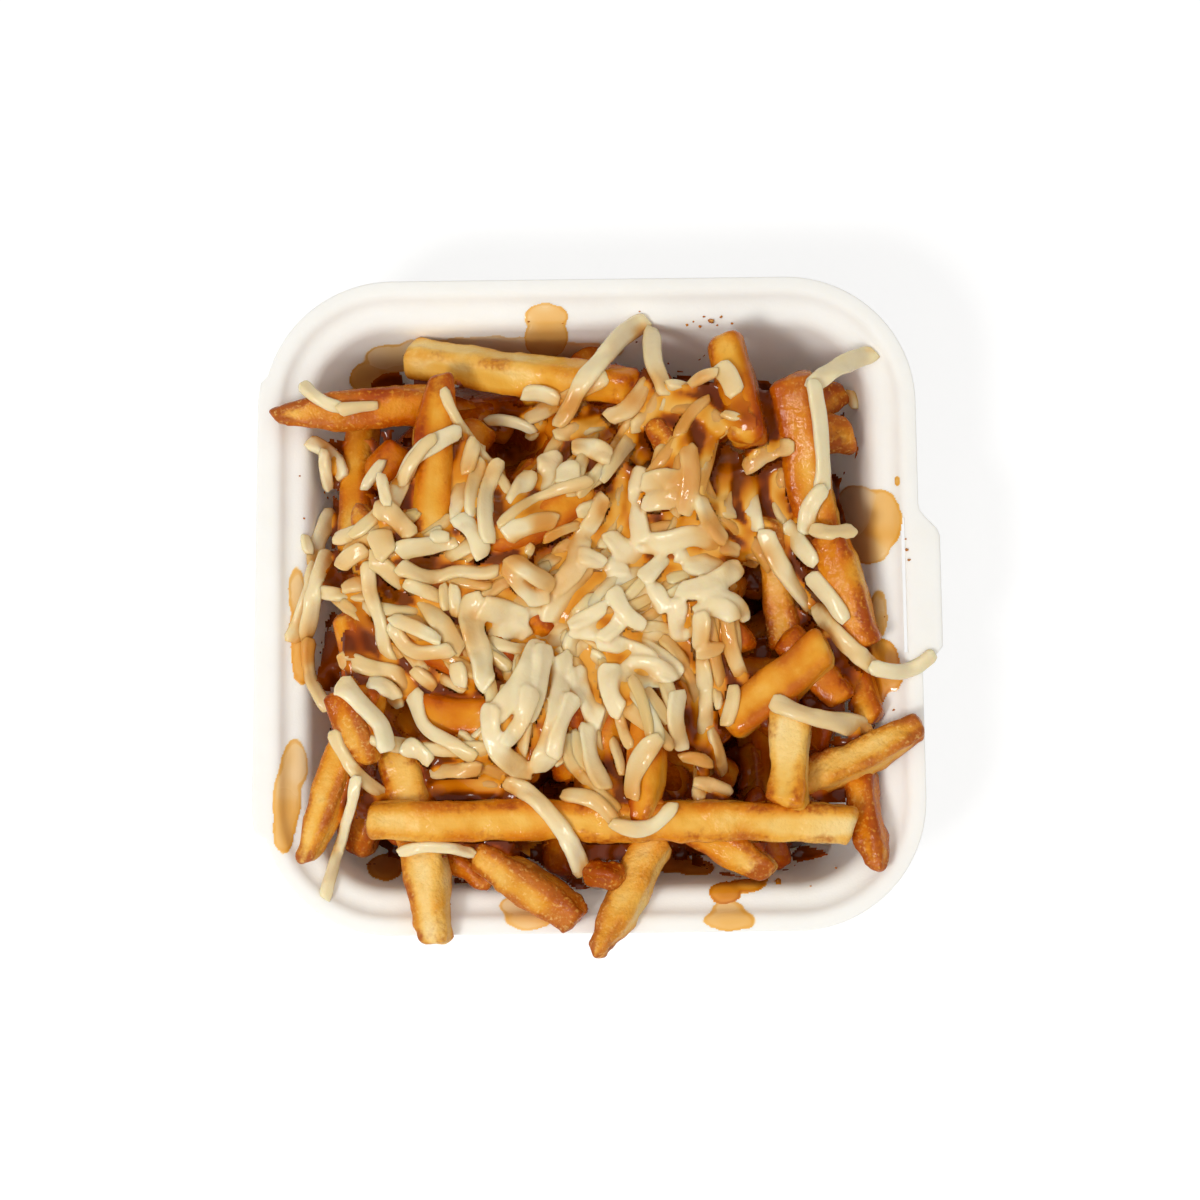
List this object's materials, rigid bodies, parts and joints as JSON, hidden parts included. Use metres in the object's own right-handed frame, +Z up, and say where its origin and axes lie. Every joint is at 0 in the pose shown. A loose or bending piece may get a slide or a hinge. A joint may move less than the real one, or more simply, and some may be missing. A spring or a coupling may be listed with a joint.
{
  "type": "loaded fries in a takeaway tray",
  "caption": "Thick-cut fries with brown gravy and half-melted shredded cheese, heaped in the open base of a square white moulded-fibre takeaway tray.",
  "frame": {"origin": "middle of the tray's flat underside, which stands on the table", "axes": "+Z up out of the open tray, +X towards the latch tab, -X towards the hinge strip"},
  "size_m": [0.1592, 0.1576, 0.0613],
  "materials": {
    "moulded_fibre": "matt, faintly fibrous",
    "gravy": "wet gloss",
    "fried_potato": "satin, with glossy gravy film",
    "melted_cheese": "satin to glossy"
  },
  "bodies": {
    "root": {"tray": "moulded_fibre", "gravy": "gravy", "fries": "fried_potato", "cheese": "melted_cheese"}
  },
  "joints": []
}
